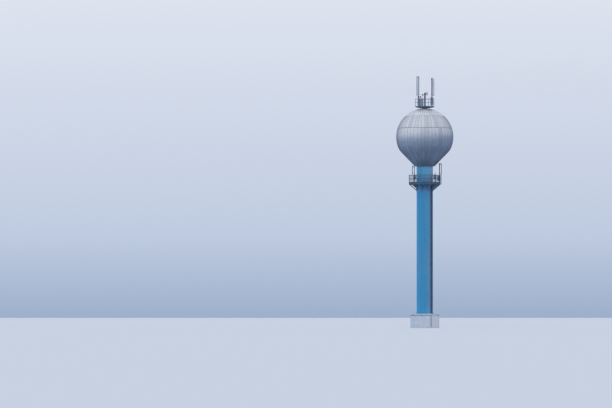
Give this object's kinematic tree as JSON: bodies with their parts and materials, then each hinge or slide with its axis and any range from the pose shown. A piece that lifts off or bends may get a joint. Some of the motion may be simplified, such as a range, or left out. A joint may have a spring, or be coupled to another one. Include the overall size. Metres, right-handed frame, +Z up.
{
  "type": "water tower",
  "caption": "Ball water tower: clad steel tank with a cone foot on a blue tube shaft, railed balcony, roof platform with sector aerials, and a square concrete valve chamber.",
  "frame": {"origin": "on the ground, on the tower's axis, at the centre of the chamber's underside", "axes": "+Z up along the tower's axis, -Y towards the viewer of the picture, +X to that viewer's right"},
  "size_m": [7.8382, 7.8382, 34.48],
  "materials": {
    "chamber_concrete": "matte",
    "slab_concrete": "matte",
    "door_paint": "satin",
    "flange_paint": "satin",
    "shaft_paint": "satin",
    "neck_paint": "satin",
    "ladder_steel": "matte",
    "cable_sheath": "satin",
    "box_steel": "satin",
    "frame_steel": "matte",
    "deck_steel": "matte",
    "railing_steel": "matte",
    "tank_cladding": "satin",
    "hatch_steel": "satin",
    "pipe_steel": "matte",
    "panel_radome": "satin",
    "radio_housing": "satin",
    "cabinet_paint": "satin",
    "mast_steel": "matte",
    "drum_radome": "satin",
    "lamp_red": "gloss"
  },
  "bodies": {
    "root": {"chamber_floor": "chamber_concrete", "chamber_front_wall": "chamber_concrete", "chamber_left_wall": "chamber_concrete", "chamber_right_wall": "chamber_concrete", "chamber_back_wall": "chamber_concrete", "chamber_roof_slab": "slab_concrete", "chamber_door": "door_paint", "base_flange": "flange_paint", "shaft_lower": "shaft_paint", "shaft_middle": "shaft_paint", "shaft_upper": "shaft_paint", "shaft_neck": "neck_paint", "balcony_door": "door_paint", "cable_ladder": "ladder_steel", "feeder_cables": "cable_sheath", "cable_box": "box_steel", "balcony_frame": "frame_steel", "balcony_deck": "deck_steel", "balcony_railing_1": "railing_steel", "balcony_railing_2": "railing_steel", "balcony_railing_3": "railing_steel", "balcony_railing_4": "railing_steel", "balcony_railing_5": "railing_steel", "balcony_railing_6": "railing_steel", "balcony_railing_7": "railing_steel", "balcony_railing_8": "railing_steel", "tank_cone": "tank_cladding", "tank_lower_bowl": "tank_cladding", "tank_belt": "tank_cladding", "tank_shoulder": "tank_cladding", "tank_crown": "tank_cladding", "hatch_neck": "hatch_steel", "hatch_cover": "hatch_steel", "platform_frame": "frame_steel", "platform_deck": "deck_steel", "platform_railing": "railing_steel", "platform_left_aerial_pipe": "pipe_steel", "platform_left_aerial_panel": "panel_radome", "platform_right_aerial_pipe": "pipe_steel", "platform_right_aerial_panel": "panel_radome", "balcony_left_aerial_pipe": "pipe_steel", "balcony_left_aerial_panel": "panel_radome", "balcony_right_aerial_pipe": "pipe_steel", "balcony_right_aerial_panel": "panel_radome", "platform_radio_left": "radio_housing", "platform_radio_right": "radio_housing", "balcony_radio_left": "radio_housing", "balcony_radio_back": "radio_housing", "balcony_radio_front": "radio_housing", "balcony_radio_stand": "radio_housing", "platform_cabinet": "cabinet_paint", "platform_mast": "mast_steel", "drum_aerial": "drum_radome", "twin_warning_lamp": "lamp_red", "single_warning_lamp": "lamp_red"}
  },
  "joints": []
}
